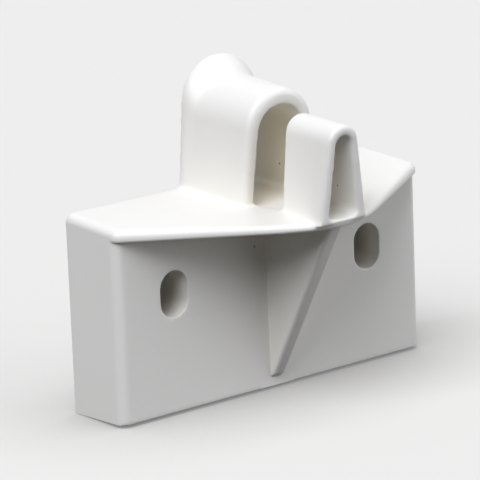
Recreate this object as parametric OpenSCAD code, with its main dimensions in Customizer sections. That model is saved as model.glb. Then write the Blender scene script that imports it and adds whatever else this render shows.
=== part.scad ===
// Door holder, moulded in one piece. A hollow wall housing with two upright
// screw slots carries a pointed plate. A large arch open from end to end and
// a small loop behind the tip stand on the plate, and one rib holds it up.
// All lengths are in millimetres. X runs along the wall, the wall plane is
// Y = 0 with the front of the part toward -Y, and Z is up. The origin is on
// the wall plane, in the middle between the two screw slots.

/* [Node] */
// the one moulded piece, or all

/* [Housing] */
// width along the wall
body_w = 75; // [62:0.5:110]
// depth from the wall plane to the front face
body_d = 15.3; // [12:0.1:22]
// height of the back edge
body_h = 39.4; // [34:0.1:55]
// wall thickness of the hollow housing
wall = 2.4; // [1.8:0.1:3.4]
// angle at which the underside rises toward the front
under_angle = 2.4; // [0:0.1:5]
// angle at which the top falls toward the front
top_angle = 2.9; // [0:0.1:5]
// radius of the two upright front edges
front_edge_r = 2; // [0.5:0.1:4]
// radius of the two top end edges
end_edge_r = 1.6; // [0.5:0.1:2.2]

/* [Screw slots] */
// distance between the two slot centres
slot_pitch = 48; // [40:0.5:80]
// height of the slot centres above the bottom edge
slot_z = 23.8; // [18:0.1:32]
// slot width, for a 4 to 5 mm screw
slot_w = 6.5; // [4.5:0.1:8]
// slot height
slot_h = 9.2; // [7:0.1:14]
// wall thickness of the tube behind each slot
tube_wall = 2; // [1.2:0.1:3]

/* [Pointed plate] */
// distance from the wall plane to the tip
tip_reach = 37; // [32:0.5:50]
// radius of the tip in plan
tip_r = 18.1; // [10:0.1:24]
// thickness of the plate at the front of the housing
plate_t = 2.5; // [1.8:0.1:4]
// rounding of the upper rim of the plate
lip_top_r = 0.8; // [0.2:0.05:1]
// rounding of the lower rim of the plate
lip_low_r = 0.6; // [0.2:0.05:0.8]

/* [Rib under the plate] */
// rib thickness under the plate
rib_top_t = 3.5; // [2:0.1:6]
// rib thickness at the lower end
rib_low_t = 2.8; // [1.8:0.1:5]
// height of the lower end above the bottom edge
rib_foot_z = 2.3; // [0.5:0.1:8]
// distance by which the lower end stands out from the housing
rib_foot_proud = 0.75; // [0.3:0.05:2]
// distance of the upper end of the rib behind the tip
rib_setback = 1.45; // [0.5:0.05:5]
// rounding of the rib's front edges
rib_edge_r = 0.8; // [0.2:0.05:0.8]

/* [Large arch] */
// half width at the foot, on the wall plane
arch_foot_wall = 10.2; // [7:0.05:16]
// half width at the foot, at the mouth
arch_foot_mouth = 9.3; // [6:0.05:15]
// outer radius of the crown near the wall
arch_crown_wall = 8.6; // [5:0.05:12]
// outer radius of the crown at the mouth
arch_crown_mouth = 8; // [5:0.05:12]
// height of the crown's centre above the back edge of the plate
arch_centre_h = 13.4; // [8:0.1:24]
// fall of the crown's centre from the wall to the mouth
arch_fall = 0.6; // [0:0.05:1.5]
// distance from the wall plane to the foot of the mouth
arch_reach = 18.7; // [14:0.1:24]
// wall thickness of the legs
arch_wall = 2.5; // [1.5:0.05:4]
// wall thickness over the crown
crown_wall = 3.05; // [1.5:0.05:5]
// radius of the front edge
mouth_round = 1.3; // [0.4:0.05:1.4]
// height added by the flared rim at the wall
flare_h = 2.95; // [0.5:0.05:5]
// depth of the flare
flare_d = 4; // [2:0.1:8]
// thickness of the rim at the flare's edge
flare_rim = 0.9; // [0.4:0.1:1.6]
// widening of the crown radius in the flare
flare_w = 0.35; // [0.1:0.05:3]
// widening of the foot in the flare
flare_foot = 0.1; // [0:0.05:2]
// fillet where the legs stand on the plate
root_r = 0.9; // [0.3:0.05:2]

/* [Tunnel and groove] */
// height of the level floor under the back edge of the plate
floor_drop = 1.25; // [0.6:0.05:1.6]
// widening of the tunnel from the mouth to the wall
tunnel_draft = 0.3; // [0:0.05:1]
// half width of the groove where it fades out in front of the loop
groove_end = 5.5; // [3:0.1:7]
// inside corner radius of the tunnel
tunnel_corner = 1; // [0.3:0.1:2]

/* [Small loop] */
// clear gap between the mouth of the arch and the loop
gap = 6; // [4:0.1:10]
// half width at the foot, at the back
loop_foot_back = 4.95; // [3:0.05:8]
// half width at the foot, at the front
loop_foot_front = 5.7; // [3:0.05:9]
// outer radius of the crown at the back
loop_crown_back = 3.6; // [2:0.05:6]
// outer radius of the crown at the front
loop_crown_front = 3.6; // [2:0.05:6]
// height of the crown's centre above the back edge of the plate
loop_centre_h = 13.3; // [8:0.1:22]
// fall of the crown's centre from the back to the front
loop_fall = 0.4; // [0:0.05:1.5]
// distance by which the foot of the front face stands past the tip
loop_proud = 0.2; // [-1:0.1:0.5]
// fillet where the loop stands on the plate
loop_root_r = 0.7; // [0.3:0.05:1.2]
// radius of the pocket's crown at the front
pocket_crown = 1.95; // [0.8:0.05:3]
// half width of the pocket at its floor
pocket_foot = 3.6; // [1.5:0.05:5]
// thickness of the loop over the pocket
pocket_roof = 1.95; // [1.2:0.05:3]
// inside corner radius at the pocket's floor
pocket_corner = 1.1; // [0.3:0.05:1.4]
// thickness of the closed back
loop_back = 2.6; // [1.5:0.1:5]
// rounding of the front edges
loop_front_round = 0.6; // [0.4:0.05:1.6]
// rounding of the back edges
loop_back_round = 0.6; // [0.2:0.05:1.2]

/* [Hidden] */
$fn = 64;
abs_white = [0.95, 0.95, 0.945];
fall = tan(top_angle);
rise = tan(under_angle);
// step that keeps two faces of touching forms from lying in one plane
join = 0.01;
// depth to which ribs and legs are sunk into what they stand on
sunk = 0.8;
plate_low = body_h - fall * body_d - plate_t;
tip_cy = tip_reach - tip_r;
floor_z = body_h - floor_drop;
// the legs of the arch start inside the plate, below the tunnel's floor
arch_base = floor_z - 0.3 * plate_t;
loop_y0 = arch_reach + gap;
loop_y1 = tip_reach + loop_proud;
loop_base = plate_low + sunk;
arc_n = 32;

// height of the plate's top face at a distance from the wall
function top_at(d) = body_h - fall * d;

// value between two others
function mix(a, b, t) = a + (b - a) * t;

// lean of a straight leg that meets the crown's circle tangentially
function lean(r, cz, foot, fz) =
    atan2(foot, cz - fz) - asin(r / norm([foot, cz - fz]));

// Outline of an arch standing on a floor at height fz: a vertical start at
// height low, a root fillet, a leaning leg, a round crown, and the mirror of it.
function arch_half(r, cz, foot, fz, root, low) =
    let (
        a = lean(r, cz, foot, fz),
        c0 = r + cz * sin(a),
        rz = fz - 0.04 * root + root,
        rx = (c0 + root - rz * sin(a)) / cos(a),
        bend = [for (g = [262, 242, 222, 202, 180 + a])
            [rx + root * cos(g), rz + root * sin(g)]],
        leg = [for (t = [0.08, 0.35, 0.68])
            let (z = mix(rz + root * sin(180 + a), cz + r * sin(a), t))
            [(c0 - z * sin(a)) / cos(a), z]],
        crown = [for (i = [0 : arc_n / 2 - 1])
            let (g = mix(a, 90, i / (arc_n / 2)))
            [r * cos(g), cz + r * sin(g)]]
    )
    concat([[bend[0][0], low]], bend, leg, crown);

// Outline of a hollow under an arch: a floor with rounded corners, leaning
// sides and a round crown.
function void_half(r, cz, foot, fz, corner) =
    let (
        a = lean(r, cz, foot, fz),
        c0 = r + cz * sin(a),
        kz = fz + corner,
        kx = (c0 - corner - kz * sin(a)) / cos(a),
        bend = [for (g = [270, 292, 314, 338, 360 + a])
            [kx + corner * cos(g), kz + corner * sin(g)]],
        crown = [for (i = [0 : arc_n / 2 - 1])
            let (g = mix(a, 90, i / (arc_n / 2)))
            [r * cos(g), cz + r * sin(g)]]
    )
    concat(bend, crown);

// whole outline from its right half and the height of the crown
function mirrored(half, top) = concat(
    half,
    [[0, top]],
    [for (i = [len(half) - 1 : -1 : 0]) [-half[i][0], half[i][1]]]);

// An outline set upright at distance d from the wall. It leans forward by
// tilt per millimetre of height above z0, and its foot spreads forward by a
// fillet of radius skirt.
function upright(outline, d, tilt, z0, skirt = 0) = [
    for (p = outline)
        let (
            h = p[1] - z0,
            s = skirt > 0 && h < skirt ? skirt - max(h, 0) : 0,
            out = skirt > 0 ? skirt - sqrt(skirt * skirt - s * s) : 0
        )
        [-p[0], -(d + tilt * h + out), p[1]]];

// A solid through a row of outlines, each symmetric about X = 0 and with the
// same number of points. Both ends are closed by strips from side to side.
module loft(rows) {
    m = len(rows);
    n = len(rows[0]);
    half = floor((n - 1) / 2);
    sides = [for (i = [0 : m - 2], j = [0 : n - 1], k = [0, 1])
        let (a = i * n + j, b = i * n + (j + 1) % n)
        k == 0 ? [a, b, b + n] : [a, b + n, a + n]];
    first = [for (j = [0 : half - 1])
        [j, n - 1 - j, n - 2 - j, j + 1]];
    end = (m - 1) * n;
    last = [for (j = [0 : half - 1])
        [end + j, end + j + 1, end + n - 2 - j, end + n - 1 - j]];
    polyhedron(
        points = [for (r = rows) each r],
        faces = concat(sides, clean(first), clean(last)),
        convexity = 8);
}

// faces with a point named twice lose the second naming
function clean(faces) = [for (f = faces)
    f[1] == f[2] ? [f[0], f[1], f[3]] :
    f[2] == f[3] ? [f[0], f[1], f[2]] : f];

// outer form of the housing: side profile, plan and end profile together
module housing_outer() {
    intersection() {
        rotate([90, 0, -90])
            translate([0, 0, -body_w])
                linear_extrude(2 * body_w)
                    polygon([
                        [0, 0],
                        [body_d, rise * body_d],
                        [body_d, top_at(body_d)],
                        [0, body_h]]);
        housing_plan(body_w / 2, body_d, front_edge_r);
        rotate([top_angle, 0, 0])
            translate([0, 5, 0])
                rotate([90, 0, 0])
                    linear_extrude(2 * body_d)
                        end_profile();
    }
}

// upright prism over the plan of the housing, its front corners rounded
module housing_plan(half, depth, r) {
    translate([0, 0, -5])
        linear_extrude(2 * body_h)
            union() {
                translate([-half, r - depth])
                    square([2 * half, depth - r]);
                translate([r - half, -depth])
                    square([2 * (half - r), depth]);
                translate([half - r, r - depth])
                    circle(r);
                translate([r - half, r - depth])
                    circle(r);
            }
}

// end-on profile with the two top edges rounded, drawn well past the bottom
module end_profile() {
    half = body_w / 2;
    top = body_h * cos(top_angle);
    union() {
        translate([-half, -10])
            square([body_w, top + 10 - end_edge_r]);
        translate([end_edge_r - half, 0])
            square([body_w - 2 * end_edge_r, top]);
        translate([half - end_edge_r, top - end_edge_r])
            circle(end_edge_r);
        translate([end_edge_r - half, top - end_edge_r])
            circle(end_edge_r);
    }
}

// room inside the housing, open toward the wall
module housing_room() {
    inner_d = body_d - wall;
    rotate([90, 0, -90])
        translate([0, 0, wall - body_w / 2])
            linear_extrude(body_w - 2 * wall)
                polygon([
                    [-1, wall],
                    [inner_d, wall + rise * inner_d],
                    [inner_d, top_at(inner_d) - plate_t],
                    [-1, top_at(-1) - plate_t]]);
}

// upright slot shape, drawn on the wall plane and pushed forward
module slot_bar(w, h, depth) {
    rotate([90, 0, 0])
        linear_extrude(depth)
            union() {
                square([w, h - w], center = true);
                translate([0, (h - w) / 2])
                    circle(d = w);
                translate([0, (w - h) / 2])
                    circle(d = w);
            }
}

// something at both slot centres
module at_slots() {
    for (side = [-1, 1])
        translate([side * slot_pitch / 2, 0, slot_z])
            children();
}

// hollow housing with a tube behind each slot
module housing() {
    difference() {
        union() {
            difference() {
                housing_outer();
                housing_room();
            }
            at_slots()
                slot_bar(slot_w + 2 * tube_wall, slot_h + 2 * tube_wall, body_d - wall / 2);
        }
        at_slots()
            translate([0, 1, 0])
                slot_bar(slot_w, slot_h, body_d + 2);
    }
}

// Right half of the plate's plan: each entry is a point on the rim and the
// outward direction there. It starts inside the housing, turns a corner as
// round as the housing's front edge, runs straight, and ends at the tip.
function rim_half() =
    let (
        half = body_w / 2 - join,
        r = front_edge_r,
        corner = [half - r, r / 2 - body_d],
        c = [0, -tip_cy],
        span = c - corner,
        edge = atan2(span[1], span[0]),
        turn = asin((tip_r - r) / norm(span)),
        g1 = edge + 90 + turn,
        corner_n = 4,
        tip_n = 14
    )
    concat(
        [[[half, wall - body_d], [1, 0]]],
        [for (i = [0 : corner_n])
            let (g = mix(0, g1, i / corner_n))
            [corner + r * [cos(g), sin(g)], [cos(g), sin(g)]]],
        [for (i = [0 : tip_n - 1])
            let (g = mix(g1, -90, i / tip_n))
            [c + tip_r * [cos(g), sin(g)], [cos(g), sin(g)]]]);

// Rounding of the plate's upper rim at a distance from the wall: it starts
// as the rounding of the housing's top end edges and eases into its own.
function lip_at(d) = lookup(d, [
    [body_d - wall, end_edge_r + 0.15],
    [body_d, end_edge_r],
    [body_d + 3 * front_edge_r, lip_top_r]]);

// one level of the plate: the rim moved inward and set to its height
function plate_level(rim, low_side, g) =
    let (
        right = [for (e = rim)
            let (
                r = low_side ? lip_low_r : lip_at(-e[0][1]),
                xy = e[0] - e[1] * r * (1 - cos(g)),
                z = low_side
                    ? plate_low + r * (1 - sin(g))
                    : top_at(-xy[1]) - join - r * (1 - sin(g))
            )
            [xy[0], xy[1], z]],
        r = low_side ? lip_low_r : lip_top_r,
        y = -(tip_reach - r * (1 - cos(g))),
        z = low_side
            ? plate_low + r * (1 - sin(g))
            : top_at(-y) - join - r * (1 - sin(g))
    )
    concat(
        right,
        [[0, y, z]],
        [for (i = [len(right) - 1 : -1 : 0])
            [-right[i][0], right[i][1], right[i][2]]]);

// pointed plate in front of the housing, both rims rounded
module plate() {
    rim = rim_half();
    loft(concat(
        [for (g = [90, 62, 36, 12]) plate_level(rim, true, g)],
        [for (g = [0, 24, 48, 70, 90]) plate_level(rim, false, g)]));
}

// one level of the rib: a bar from inside the housing to a nose with rounded
// edges
function rib_level(z, front, t) =
    let (
        r = rib_edge_r,
        back = body_d - wall / 2,
        nose = [for (g = [0 : 18 : 90])
            [t / 2 - r * (1 - cos(g)), -(front - r * (1 - sin(g))), z]]
    )
    concat(
        [[t / 2, -back, z]],
        nose,
        [[0, -front, z]],
        [for (i = [len(nose) - 1 : -1 : 0])
            [-nose[i][0], nose[i][1], z]],
        [[-t / 2, -back, z]]);

// Upright rib between the housing and the plate. Its lower end stands out
// from the housing and is rounded off below.
module rib() {
    top = plate_low + sunk;
    foot = body_d + rib_foot_proud;
    head = tip_reach - rib_setback;
    end_r = rib_foot_proud + 0.2;
    loft(concat(
        [for (g = [0, 30, 60])
            rib_level(
                rib_foot_z + end_r * (1 - cos(g)),
                foot - end_r * (1 - sin(g)),
                rib_low_t)],
        [for (z = [rib_foot_z + end_r, top])
            let (t = (z - rib_foot_z) / (top - rib_foot_z))
            rib_level(z, mix(foot, head, t), mix(rib_low_t, rib_top_t, t))]));
}

// sizes of the arch at distance d: crown radius, crown centre, foot, floor
function arch_at(d) =
    let (t = d / arch_reach)
    [
        mix(arch_crown_wall, arch_crown_mouth, t),
        body_h + arch_centre_h - arch_fall * t,
        mix(arch_foot_wall, arch_foot_mouth, t),
        top_at(d)
    ];

// the same sizes for the tunnel inside it
function tunnel_at(d) =
    let (
        t = d / arch_reach,
        a = arch_at(arch_reach),
        w = tunnel_draft * (1 - t)
    )
    [
        a[0] - arch_wall + w,
        a[1] + a[0] - crown_wall - (a[0] - arch_wall) + w,
        a[2] - arch_wall + w,
        floor_z
    ];

// Sizes in the flared rim. It keeps its height over its own thickness and
// then runs out into the arch, rounded at the top and hollow at the bottom.
function flare_at(d) =
    let (
        u = max(0, d - flare_rim) / (flare_d - flare_rim),
        k = (1 + cos(180 * u)) / 2,
        a = arch_at(d)
    )
    [
        a[0] + flare_w * k,
        a[1] + (flare_h - flare_w) * k,
        a[2] + flare_foot * k,
        a[3]
    ];

// large arch: flared rim at the wall, tapering body, rounded front edge
module arch() {
    flare = concat(
        [0],
        [for (u = [0 : 0.125 : 0.875]) mix(flare_rim, flare_d, u)]);
    straight = arch_reach - mouth_round - flare_d;
    body = [for (t = [0, 0.3, 0.65, 1]) flare_d + straight * t];
    rounding = [18 : 18 : 90];
    skirt = 0.8;
    inside = tunnel_at(arch_reach);
    rows = concat(
        [for (d = flare)
            let (s = flare_at(d))
            upright(arch_row(s, root_r), d, fall * d / arch_reach, s[3])],
        [for (d = body)
            let (s = arch_at(d))
            upright(arch_row(s, root_r), d, fall * d / arch_reach, s[3])],
        [for (g = rounding)
            let (
                d = arch_reach - mouth_round * (1 - sin(g)),
                k = (1 - cos(g)) * mouth_round / arch_wall,
                s = arch_at(d),
                q = [for (i = [0 : 3])
                    i == 3 ? s[3] : mix(s[i], inside[i], k)]
            )
            upright(arch_row(q, root_r), d, fall, s[3], skirt * g / 90)]);
    loft(rows);
}

// outline of the arch for a set of sizes
function arch_row(s, root) = mirrored(
    arch_half(s[0], s[1], s[2], s[3], root, arch_base),
    s[1] + s[0]);

// Room under the arch, open at both ends, and the groove that leaves it. The
// room ends clear of the mouth, and from there a low round-topped form cuts
// the groove up to the loop.
module tunnel() {
    clear = 1.6;
    groove_top = tunnel_corner + 0.3;
    last = arch_reach + clear;
    rows = concat(
        [for (d = [-1, arch_reach / 2, last])
            let (s = tunnel_at(d))
            upright(void_row(s), d, d < 0 ? 0 : fall * d / arch_reach, s[3])],
        [for (d = [last + 0.3, loop_y0 - 0.05])
            let (
                s = tunnel_at(arch_reach),
                t = (d - last) / (loop_y0 - last),
                f = mix(s[2], groove_end, t)
            )
            upright(
                void_row([f - 0.6, floor_z + groove_top, f, floor_z]),
                d, 0, floor_z)]);
    loft(rows);
}

// outline of the tunnel for a set of sizes
function void_row(s) = mirrored(
    void_half(s[0], s[1], s[2], s[3], tunnel_corner),
    s[1] + s[0]);

// sizes of the loop at distance d
function loop_at(d) =
    let (t = (d - loop_y0) / (loop_y1 - loop_y0))
    [
        mix(loop_crown_back, loop_crown_front, t),
        body_h + loop_centre_h - loop_fall * t,
        mix(loop_foot_back, loop_foot_front, t),
        top_at(d)
    ];

// outline of the loop, made smaller all round by an amount
function loop_row(s, less, root, base) = mirrored(
    arch_half(s[0] - less, s[1], s[2] - less, s[3], root, base),
    s[1] + s[0] - less);

// Solid form of the small loop. Its front corners stand a little past the
// curved rim, so there the legs end in the rim's rounding and not below it.
module loop_solid() {
    mid = mix(loop_y0, loop_y1, 0.45);
    low_end = loop_y1 - 2.5 * loop_front_round;
    front_root = loop_root_r / 2;
    front_base = top_at(loop_y1) - lip_top_r / 2;
    rows = concat(
        [for (g = [90, 54, 24])
            let (
                d = loop_y0 + loop_back_round * (1 - sin(g)),
                s = loop_at(d),
                less = loop_back_round * (1 - cos(g))
            )
            upright(loop_row(s, less, loop_root_r, loop_base), d, 0, s[3])],
        [for (d = [loop_y0 + loop_back_round, mid, low_end, loop_y1 - loop_front_round])
            let (
                s = loop_at(d),
                base = d > low_end ? front_base : loop_base,
                root = d > low_end ? front_root : loop_root_r,
                tilt = fall * (d - loop_y0) / (loop_y1 - loop_y0)
            )
            upright(loop_row(s, 0, root, base), d, tilt, s[3])],
        [for (g = [22, 44, 66, 90])
            let (
                d = loop_y1 - loop_front_round * (1 - sin(g)),
                s = loop_at(d),
                less = loop_front_round * (1 - cos(g))
            )
            upright(loop_row(s, less, front_root, front_base), d, fall, s[3])]);
    loft(rows);
}

// pocket in the loop, open to the front
module loop_pocket() {
    s = loop_at(loop_y1);
    r = pocket_crown;
    cz = s[1] + s[0] - pocket_roof - r;
    floor_h = top_at(loop_y1) + 0.25;
    start = loop_y0 + loop_back;
    draft = 0.5;
    rows = [for (t = [0, 0.5, 1])
        let (
            d = mix(start, loop_y1 + 2, t),
            w = draft * (1 - t)
        )
        upright(
            mirrored(
                void_half(r - w, cz, pocket_foot - w, floor_h + w, pocket_corner),
                cz + r - w),
            d, fall, floor_h)];
    loft(rows);
}

// small loop behind the tip
module loop() {
    difference() {
        loop_solid();
        loop_pocket();
    }
}

// the moulded piece, set so that the slot centres lie on the X axis
module door_holder() {
    color(abs_white)
        translate([0, 0, -slot_z])
            union() {
                difference() {
                    union() {
                        housing();
                        plate();
                        rib();
                        arch();
                    }
                    tunnel();
                }
                loop();
            }
}

door_holder();
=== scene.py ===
# %% [markdown]
# # A white door holder, moulded in one piece
# The part is one injection moulding: a hollow housing that is screwed to a
# wall through two slots, a pointed plate on a rib, a large arch and a small
# loop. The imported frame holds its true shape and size. This script gives it
# the soft edges and the satin skin of a real moulding, a plain floor, studio
# light and a camera.

# %% Load the frame
import math

import bmesh
import bpy
from mathutils import Matrix, Vector


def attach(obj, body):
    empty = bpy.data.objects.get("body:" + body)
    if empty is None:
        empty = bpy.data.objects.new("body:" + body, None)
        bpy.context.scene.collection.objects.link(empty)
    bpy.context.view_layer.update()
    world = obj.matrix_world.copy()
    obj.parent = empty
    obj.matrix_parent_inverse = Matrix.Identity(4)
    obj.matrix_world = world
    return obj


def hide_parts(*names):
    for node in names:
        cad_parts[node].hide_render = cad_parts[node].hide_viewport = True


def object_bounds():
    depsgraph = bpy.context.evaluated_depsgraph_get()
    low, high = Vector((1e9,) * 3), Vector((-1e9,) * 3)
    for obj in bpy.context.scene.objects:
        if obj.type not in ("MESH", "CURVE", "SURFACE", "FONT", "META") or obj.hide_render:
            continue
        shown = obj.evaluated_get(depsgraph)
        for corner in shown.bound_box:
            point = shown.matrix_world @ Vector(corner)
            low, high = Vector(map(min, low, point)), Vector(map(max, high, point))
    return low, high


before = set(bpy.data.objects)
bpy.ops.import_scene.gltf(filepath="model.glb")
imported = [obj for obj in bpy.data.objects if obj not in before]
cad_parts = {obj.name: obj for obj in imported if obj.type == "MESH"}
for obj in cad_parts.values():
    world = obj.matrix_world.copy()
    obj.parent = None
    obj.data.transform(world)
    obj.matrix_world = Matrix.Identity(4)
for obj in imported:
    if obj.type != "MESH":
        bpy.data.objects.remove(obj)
cad_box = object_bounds()
MM = 0.001


def in_mm(box):
    """A box's two corners in rounded millimetres, for printing."""
    return [[round(value / MM, 2) for value in corner] for corner in box]


print("frame box", in_mm(cad_box))

# %% [markdown]
# ## The moulding
# A mould is cut with small radii everywhere, because sharp inner corners
# crack and sharp outer ones do not fill. The CAD solid has the large radii
# and leaves the small ones sharp. They could be bevelled edge by edge, but
# where the arch and the loop run into a sloping plate the bevels would
# collide. So the mesh is rebuilt from fine even squares and then relaxed a
# little: most outer edges lose a few tenths of a millimetre and most inner
# corners gain a fillet, as in the mould.
#
# A CAD mesh is loose triangles, so a copy of it is merged first. The node
# itself stays as it is and is only hidden.

# %% A merged copy of the node
MERGE_GAP = 0.002 * MM


def merged_copy(node, name):
    """A copy of a CAD node's mesh with its loose triangles joined."""
    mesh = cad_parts[node].data.copy()
    bm = bmesh.new()
    bm.from_mesh(mesh)
    bmesh.ops.remove_doubles(bm, verts=bm.verts, dist=MERGE_GAP)
    bm.to_mesh(mesh)
    print(name, "has", len(bm.verts), "points and", len(bm.faces), "faces")
    bm.free()
    piece = bpy.data.objects.new(name, mesh)
    bpy.context.scene.collection.objects.link(piece)
    return piece


moulding = merged_copy("door_holder", "moulding")

# %% [markdown]
# ## Even squares
# The sharp remesh turns the copy into squares of about 0.3 mm, smaller than
# the smallest radius, so the pocket and the slots keep their form. Unlike a
# voxel remesh it leaves flat walls flat and keeps each edge where it is. Each
# step of its depth halves the squares, and its scale is the share of the grid
# that the piece fills.

# %% Remesh
OCTREE_DEPTH = 8
OCTREE_FILL = 0.99


def apply_modifiers(piece):
    """Bakes a piece's modifiers into its mesh."""
    depsgraph = bpy.context.evaluated_depsgraph_get()
    baked = bpy.data.meshes.new_from_object(piece.evaluated_get(depsgraph))
    old = piece.data
    piece.modifiers.clear()
    piece.data = baked
    bpy.data.meshes.remove(old)


squares = moulding.modifiers.new("squares", "REMESH")
squares.mode = "SHARP"
squares.octree_depth = OCTREE_DEPTH
squares.scale = OCTREE_FILL
squares.use_remove_disconnected = False
apply_modifiers(moulding)
print("remeshed to", len(moulding.data.polygons), "squares")

# %% [markdown]
# ## Moulded edges
# Moving each point halfway to the middle of its neighbours rounds what is
# sharp. Two steps are enough for the housing, whose slots have crisp rims. Its
# bottom edge and the rib are sharper still and get none. The arch, the loop
# and the tip of the plate are softer and get more. The zones are relaxed one
# after the other, and their bounds are in millimetres.

# %% Relax the edges
RELAX_SHARE = 0.5
BOTTOM_RIM = cad_box[0][2] / MM + 0.6
RIB_HALF = 4.0
RIB_TOP = 10.5
HOUSING_FRONT = -15.0
PLATE_TOP = 14.2
LIP_FOOT = 11.2
TIP_BACK = -33.0


def on_rib(place):
    """True below the plate and in front of the housing, near the middle."""
    return (
        abs(place.x) < RIB_HALF and place.y < HOUSING_FRONT and place.z < RIB_TOP)


ZONES = [
    ("housing and plate", 2, lambda p: p.z > BOTTOM_RIM and not on_rib(p)),
    ("arch and loop", 6, lambda p: p.z > PLATE_TOP),
    ("tip", 6, lambda p: p.z > LIP_FOOT and p.y < TIP_BACK),
]


def relax(piece, zone, steps, inside):
    """Moves each point of a zone toward the middle of its neighbours."""
    bm = bmesh.new()
    bm.from_mesh(piece.data)
    points = [v for v in bm.verts if inside(v.co / MM)]
    for _ in range(steps):
        bmesh.ops.smooth_vert(
            bm, verts=points, factor=RELAX_SHARE,
            use_axis_x=True, use_axis_y=True, use_axis_z=True)
    bm.to_mesh(piece.data)
    bm.free()
    print("relaxed", zone, steps, "times,", len(points), "points")


for zone_values in ZONES:
    relax(moulding, *zone_values)

# %% [markdown]
# ## A lighter mesh
# Flat walls do not need so many squares. The decimator joins faces where the
# surface is flat first and leaves the rounded edges dense. Smooth shading
# then hides the faces, and edges past an angle stay sharp.

# %% Thin out and hand over
FACE_LIMIT = 195000
SHARP_FROM = math.radians(50)

thin = moulding.modifiers.new("thin", "DECIMATE")
thin.ratio = min(1.0, FACE_LIMIT / (2 * len(moulding.data.polygons)))
apply_modifiers(moulding)
moulding.data.shade_smooth()
moulding.data.set_sharp_from_angle(angle=SHARP_FROM)
print("thinned to", len(moulding.data.polygons), "faces")

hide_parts("door_holder")
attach(moulding, "root")

# %% [markdown]
# ## The finish
# The part is moulded in white ABS, a hard plastic. Its tool was left with a
# fine spark-eroded skin, so the plastic is satin: broad soft highlights and
# no mirror image. White ABS is never quite neutral. It is a little warm. In
# recesses light arrives only after several bounces and reads as beige; that
# bounce light and the shade there are painted into the colour.

# %% Colour and node helpers
def srgb(code):
    """A hex colour as linear values with alpha."""
    parts = [int(code[i:i + 2], 16) / 255 for i in (1, 3, 5)]
    linear = [
        c / 12.92 if c <= 0.04045 else ((c + 0.055) / 1.055) ** 2.4 for c in parts]
    return (*linear, 1.0)


def add_node(tree, kind, settings=None, inputs=None, links=None):
    """Adds a node, sets its properties and inputs, and links its inputs."""
    node = tree.nodes.new(kind)
    for key, value in (settings or {}).items():
        setattr(node, key, value)
    for key, value in (inputs or {}).items():
        node.inputs[key].default_value = value
    for key, source in (links or {}).items():
        tree.links.new(source, node.inputs[key])
    return node


def new_material(name):
    """An empty material and its node tree."""
    material = bpy.data.materials.new(name)
    material.use_nodes = True
    material.node_tree.nodes.clear()
    return material, material.node_tree


# %% [markdown]
# ## Painted light and shade in recesses
# How deep a place lies in a recess is the share of its surroundings that is
# blocked within a reach. Cubed, it leaves open faces alone and paints bounce
# light and shade only into the tunnel, the pocket and the slots: a little
# lighter there. Three places have a tint of their own: a painted warm bounce
# light in the tunnel, and painted shade deep in the two slots. Each is a ball
# with a centre and two distances in millimetres, where its tint starts and
# where it is full.

# %% Painted recess light and shade
RECESS_REACH = 20 * MM
RECESS_POWER = 3.0
SHADE_RAYS = 12
RECESS_PAINTED_BOUNCE = srgb("#F5F1E7")
TUNNEL_PAINTED_BOUNCE = srgb("#FCF1D3")
SLOT_PAINTED_SHADE = srgb("#6E624B")
LOCAL_PAINTED_LIGHT = [
    # Painted warm bounce light in the tunnel.
    ((0.0, -9.0, 23.0), (17.0, 11.0), TUNNEL_PAINTED_BOUNCE),
    # Painted shade deep in the two slots.
    ((-24.0, -5.0, 0.0), (9.5, 5.0), SLOT_PAINTED_SHADE),
    ((24.0, -5.0, 0.0), (9.5, 5.0), SLOT_PAINTED_SHADE),
]


def blocked_share(tree, reach):
    """The share of a point's surroundings that is blocked within a reach."""
    open_share = add_node(
        tree, "ShaderNodeAmbientOcclusion",
        settings={"samples": SHADE_RAYS}, inputs={"Distance": reach}).outputs["AO"]
    return add_node(
        tree, "ShaderNodeMath", settings={"operation": "SUBTRACT"},
        inputs={0: 1.0}, links={1: open_share}).outputs[0]


# The mask places painted bounce light and shade by how enclosed a place is.
def painted_recess_mask(tree):
    """1 deep in a recess and 0 on open faces."""
    return add_node(
        tree, "ShaderNodeMath", settings={"operation": "POWER"},
        inputs={1: RECESS_POWER},
        links={0: blocked_share(tree, RECESS_REACH)}).outputs[0]


def near(tree, place, centre, fade):
    """0 at fade's first distance from a centre and 1 within its second."""
    away = add_node(
        tree, "ShaderNodeVectorMath", settings={"operation": "DISTANCE"},
        inputs={1: [value * MM for value in centre]}, links={0: place})
    return add_node(
        tree, "ShaderNodeMapRange",
        inputs={"From Min": fade[0] * MM, "From Max": fade[1] * MM},
        links={"Value": away.outputs["Value"]}).outputs["Result"]


def mixed(tree, factor, first, second):
    """A colour between two, by a factor. Each is a value or a socket.

    A colour mix takes its two colours at inputs 6 and 7 and gives output 2.
    """
    node = add_node(
        tree, "ShaderNodeMix", settings={"data_type": "RGBA"}, links={0: factor})
    for key, colour in ((6, first), (7, second)):
        if isinstance(colour, tuple):
            node.inputs[key].default_value = colour
        else:
            tree.links.new(colour, node.inputs[key])
    return node.outputs[2]


# %% [markdown]
# ## Moulded white ABS
# ABS has an IOR of about 1.54. A spark-eroded skin of this fineness gives a
# roughness near 0.4. Its grain is about 0.1 mm on the real part, too fine for
# this picture, so it is drawn three times as coarse. Over some millimetres
# the gloss also drifts a little, as the melt touched the cold steel unevenly.
# Three tiny dark specks of dirt or burnt plastic sit on the tunnel's wall,
# beside the rib and in the pocket. The one beside the rib is faint, so its
# second distance is below zero, where no point of it can be.

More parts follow.
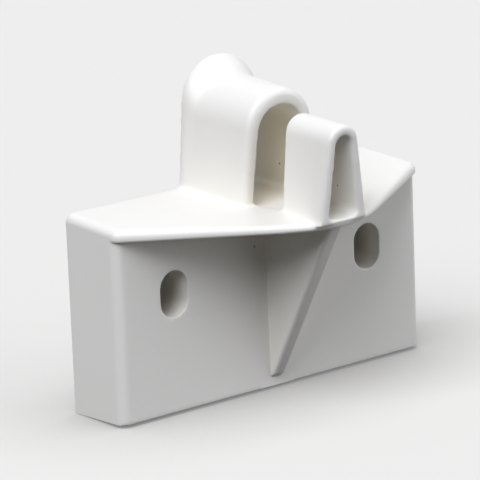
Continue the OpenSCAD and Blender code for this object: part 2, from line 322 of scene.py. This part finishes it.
# %% The plastic
WHITE_ABS = srgb("#F0ECE3")
ABS_IOR = 1.54
SATIN = (0.38, 0.46)
SPECK_BROWN = srgb("#5E574B")
GRAIN = 0.3 * MM
GRAIN_HEIGHT = 0.02 * MM
GRAIN_STRENGTH = 0.15
GLOSS_DRIFT = 9 * MM
SPECKS = [
    ((6.49, -10.54, 19.12), (0.28, 0.14)),
    ((-4.27, -15.3, 5.46), (0.38, -0.15)),
    ((2.73, -32.29, 19.11), (0.22, 0.10)),
]


def moulded_abs():
    """Satin white ABS with a fine eroded skin."""
    material, tree = new_material("moulded_abs_white")
    place = add_node(tree, "ShaderNodeTexCoord").outputs["Object"]
    # Painted bounce light and shade: the colour moves toward these tints where a place is
    # enclosed, not because the plastic differs there.
    tint = RECESS_PAINTED_BOUNCE
    for centre, fade, local in LOCAL_PAINTED_LIGHT:
        tint = mixed(tree, near(tree, place, centre, fade), tint, local)
    colour = mixed(tree, painted_recess_mask(tree), WHITE_ABS, tint)
    for centre, fade in SPECKS:
        colour = mixed(tree, near(tree, place, centre, fade), colour, SPECK_BROWN)
    skin = add_node(
        tree, "ShaderNodeTexNoise",
        inputs={"Scale": 1 / GRAIN, "Detail": 3.0, "Roughness": 0.6},
        links={"Vector": place})
    bump = add_node(
        tree, "ShaderNodeBump",
        inputs={"Strength": GRAIN_STRENGTH, "Distance": GRAIN_HEIGHT},
        links={"Height": skin.outputs["Fac"]})
    drift = add_node(
        tree, "ShaderNodeTexNoise",
        inputs={"Scale": 1 / GLOSS_DRIFT, "Detail": 2.0},
        links={"Vector": place})
    gloss = add_node(
        tree, "ShaderNodeMapRange",
        inputs={
            "From Min": 0.3, "From Max": 0.7,
            "To Min": SATIN[0], "To Max": SATIN[1]},
        links={"Value": drift.outputs["Fac"]})
    shader = add_node(
        tree, "ShaderNodeBsdfPrincipled",
        inputs={"IOR": ABS_IOR},
        links={
            "Base Color": colour,
            "Roughness": gloss.outputs["Result"],
            "Normal": bump.outputs["Normal"],
        })
    add_node(tree, "ShaderNodeOutputMaterial", links={"Surface": shader.outputs["BSDF"]})
    print("made", material.name, "with", len(tree.nodes), "nodes")
    return material


moulding.data.materials.clear()
moulding.data.materials.append(moulded_abs())

# %% [markdown]
# ## Camera
# The camera's place was solved from the straight edges of the housing. It
# stands to the left of the front and above it, far away, with a long lens,
# so upright edges stay almost parallel.

# %% Camera
VIEW_FROM = (-38.286, 14.787)
ROLL = math.radians(-2.228)
DISTANCE = 674.2 * MM
TARGET = Vector((-1.529, -7.422, 4.782)) * MM
FOCAL_PIXELS = 3474
IMAGE_PIXELS = 480
SENSOR = 36
CLIP_END = 20


def direction(azimuth, elevation):
    """The way toward a place seen from the part, from two angles in degrees."""
    azimuth, elevation = math.radians(azimuth), math.radians(elevation)
    return Vector((
        math.sin(azimuth) * math.cos(elevation),
        -math.cos(azimuth) * math.cos(elevation),
        math.sin(elevation)))


def solved_camera():
    """A camera that looks at TARGET from the solved direction."""
    data = bpy.data.cameras.new("camera")
    data.sensor_width = SENSOR
    data.lens = FOCAL_PIXELS / IMAGE_PIXELS * SENSOR
    data.clip_end = CLIP_END
    back = direction(*VIEW_FROM)
    pose = (-back).to_track_quat("-Z", "Y").to_matrix().to_4x4()
    pose = pose @ Matrix.Rotation(ROLL, 4, "Z")
    pose.translation = TARGET + back * DISTANCE
    camera = bpy.data.objects.new("camera", data)
    camera.matrix_world = pose
    bpy.context.scene.collection.objects.link(camera)
    bpy.context.scene.camera = camera
    print("lens", round(data.lens, 1), "mm, camera at", in_mm([pose.translation])[0])


solved_camera()

# %% [markdown]
# ## Floor
# The floor is a plain matt sheet just under the housing. The camera sees it
# pale, with the shadow on it, and with a painted shade close to the part,
# darker where more of its surroundings is blocked. A part of what it sees is
# a faint glow, painted light which keeps the shadow soft and the background
# even; the glow takes the same painted shade near the part. For light that
# bounces off the floor it is dark, as if the part stood on a narrow table:
# that keeps the underside of the plate and the lower walls in shade.

# %% Floor
FLOOR_GAP = 0.05 * MM
FLOOR_HALF = 3.0
FLOOR_PALE = srgb("#E7E3DA")
FLOOR_SHADE = srgb("#5E5C58")
FLOOR_BOUNCE = srgb("#2A2A2A")
BACKGROUND = srgb("#EFEFEF")
GLOW_SHADE = srgb("#BCBCBC")
GLOW_SHARE = 0.4
SHADE_REACH = 30 * MM


def seen_directly(tree):
    """1 for rays that show the background, and 0 for light that bounces."""
    path = add_node(tree, "ShaderNodeLightPath")
    first = add_node(
        tree, "ShaderNodeMath", settings={"operation": "MAXIMUM"},
        links={0: path.outputs["Is Camera Ray"], 1: path.outputs["Is Glossy Ray"]})
    return add_node(
        tree, "ShaderNodeMath", settings={"operation": "MAXIMUM"},
        links={0: first.outputs[0], 1: path.outputs["Is Transmission Ray"]}).outputs[0]


def pale_floor():
    """A flat sheet under the part."""
    material, tree = new_material("matt_floor")
    # Painted shade: the floor's colour and glow darken where the part blocks their
    # surroundings.
    shade = blocked_share(tree, SHADE_REACH)
    seen = seen_directly(tree)
    colour = mixed(
        tree, seen, FLOOR_BOUNCE, mixed(tree, shade, FLOOR_PALE, FLOOR_SHADE))
    matt = add_node(tree, "ShaderNodeBsdfDiffuse", links={"Color": colour})
    glow = add_node(
        tree, "ShaderNodeEmission",
        links={"Color": mixed(tree, shade, BACKGROUND, GLOW_SHADE)})
    share = add_node(
        tree, "ShaderNodeMath", settings={"operation": "MULTIPLY"},
        inputs={1: GLOW_SHARE}, links={0: seen})
    either = add_node(
        tree, "ShaderNodeMixShader",
        links={0: share.outputs[0], 1: matt.outputs[0], 2: glow.outputs[0]})
    add_node(tree, "ShaderNodeOutputMaterial", links={"Surface": either.outputs[0]})
    mesh = bpy.data.meshes.new("floor")
    bm = bmesh.new()
    bmesh.ops.create_grid(bm, x_segments=1, y_segments=1, size=FLOOR_HALF)
    bmesh.ops.translate(bm, verts=bm.verts, vec=(0, 0, cad_box[0][2] - FLOOR_GAP))
    bm.to_mesh(mesh)
    bm.free()
    mesh.materials.append(material)
    floor = bpy.data.objects.new("floor", mesh)
    bpy.context.scene.collection.objects.link(floor)
    print("floor at", round(mesh.vertices[0].co.z / MM, 2), "mm")


pale_floor()

# %% [markdown]
# ## Light
# Most of the light comes from one wide soft source high on the left, as from
# a large softbox or a bright window. A wider and weaker one stands overhead,
# as a white ceiling does, and one low on the right fills the front. Wide sun
# lamps are such sources without falloff: they light the floor evenly out to
# the back. A dim sky keeps the shade from going black.
# All are slightly cool, which makes the warm white plastic neutral where they
# reach it and leaves it warm where light arrives by bounces.

# %% Sky and lamps
COOL_WHITE = srgb("#F1F5FF")
SKY_STRENGTH = 0.08
LAMPS = [
    ("key", (-66, 50), 48, 2.95),
    ("ceiling", (0, 89), 100, 0.82),
    ("fill", (45, 12), 70, 1.8),
]


def dim_sky():
    """An even sky that the camera sees as a pale background."""
    world = bpy.data.worlds.new("studio")
    world.use_nodes = True
    tree = world.node_tree
    tree.nodes.clear()
    light = add_node(
        tree, "ShaderNodeBackground",
        inputs={"Color": COOL_WHITE, "Strength": SKY_STRENGTH})
    view = add_node(
        tree, "ShaderNodeBackground", inputs={"Color": BACKGROUND, "Strength": 1.0})
    either = add_node(
        tree, "ShaderNodeMixShader",
        links={0: seen_directly(tree), 1: light.outputs[0], 2: view.outputs[0]})
    add_node(tree, "ShaderNodeOutputWorld", links={"Surface": either.outputs[0]})
    bpy.context.scene.world = world


def wide_lamp(name, angles, width, strength):
    """A far soft lamp. Azimuth 0 is in front of the part, and right is more."""
    data = bpy.data.lights.new(name, "SUN")
    data.angle = math.radians(width)
    data.energy = strength
    data.color = COOL_WHITE[:3]
    lamp = bpy.data.objects.new(name, data)
    lamp.location = direction(*angles)
    lamp.rotation_euler = (-lamp.location).to_track_quat("-Z", "Y").to_euler()
    bpy.context.scene.collection.objects.link(lamp)
    print(name, "lamp,", width, "degrees wide,", strength, "W/m2")


dim_sky()
for lamp_values in LAMPS:
    wide_lamp(*lamp_values)
bpy.context.scene.view_settings.view_transform = "Standard"
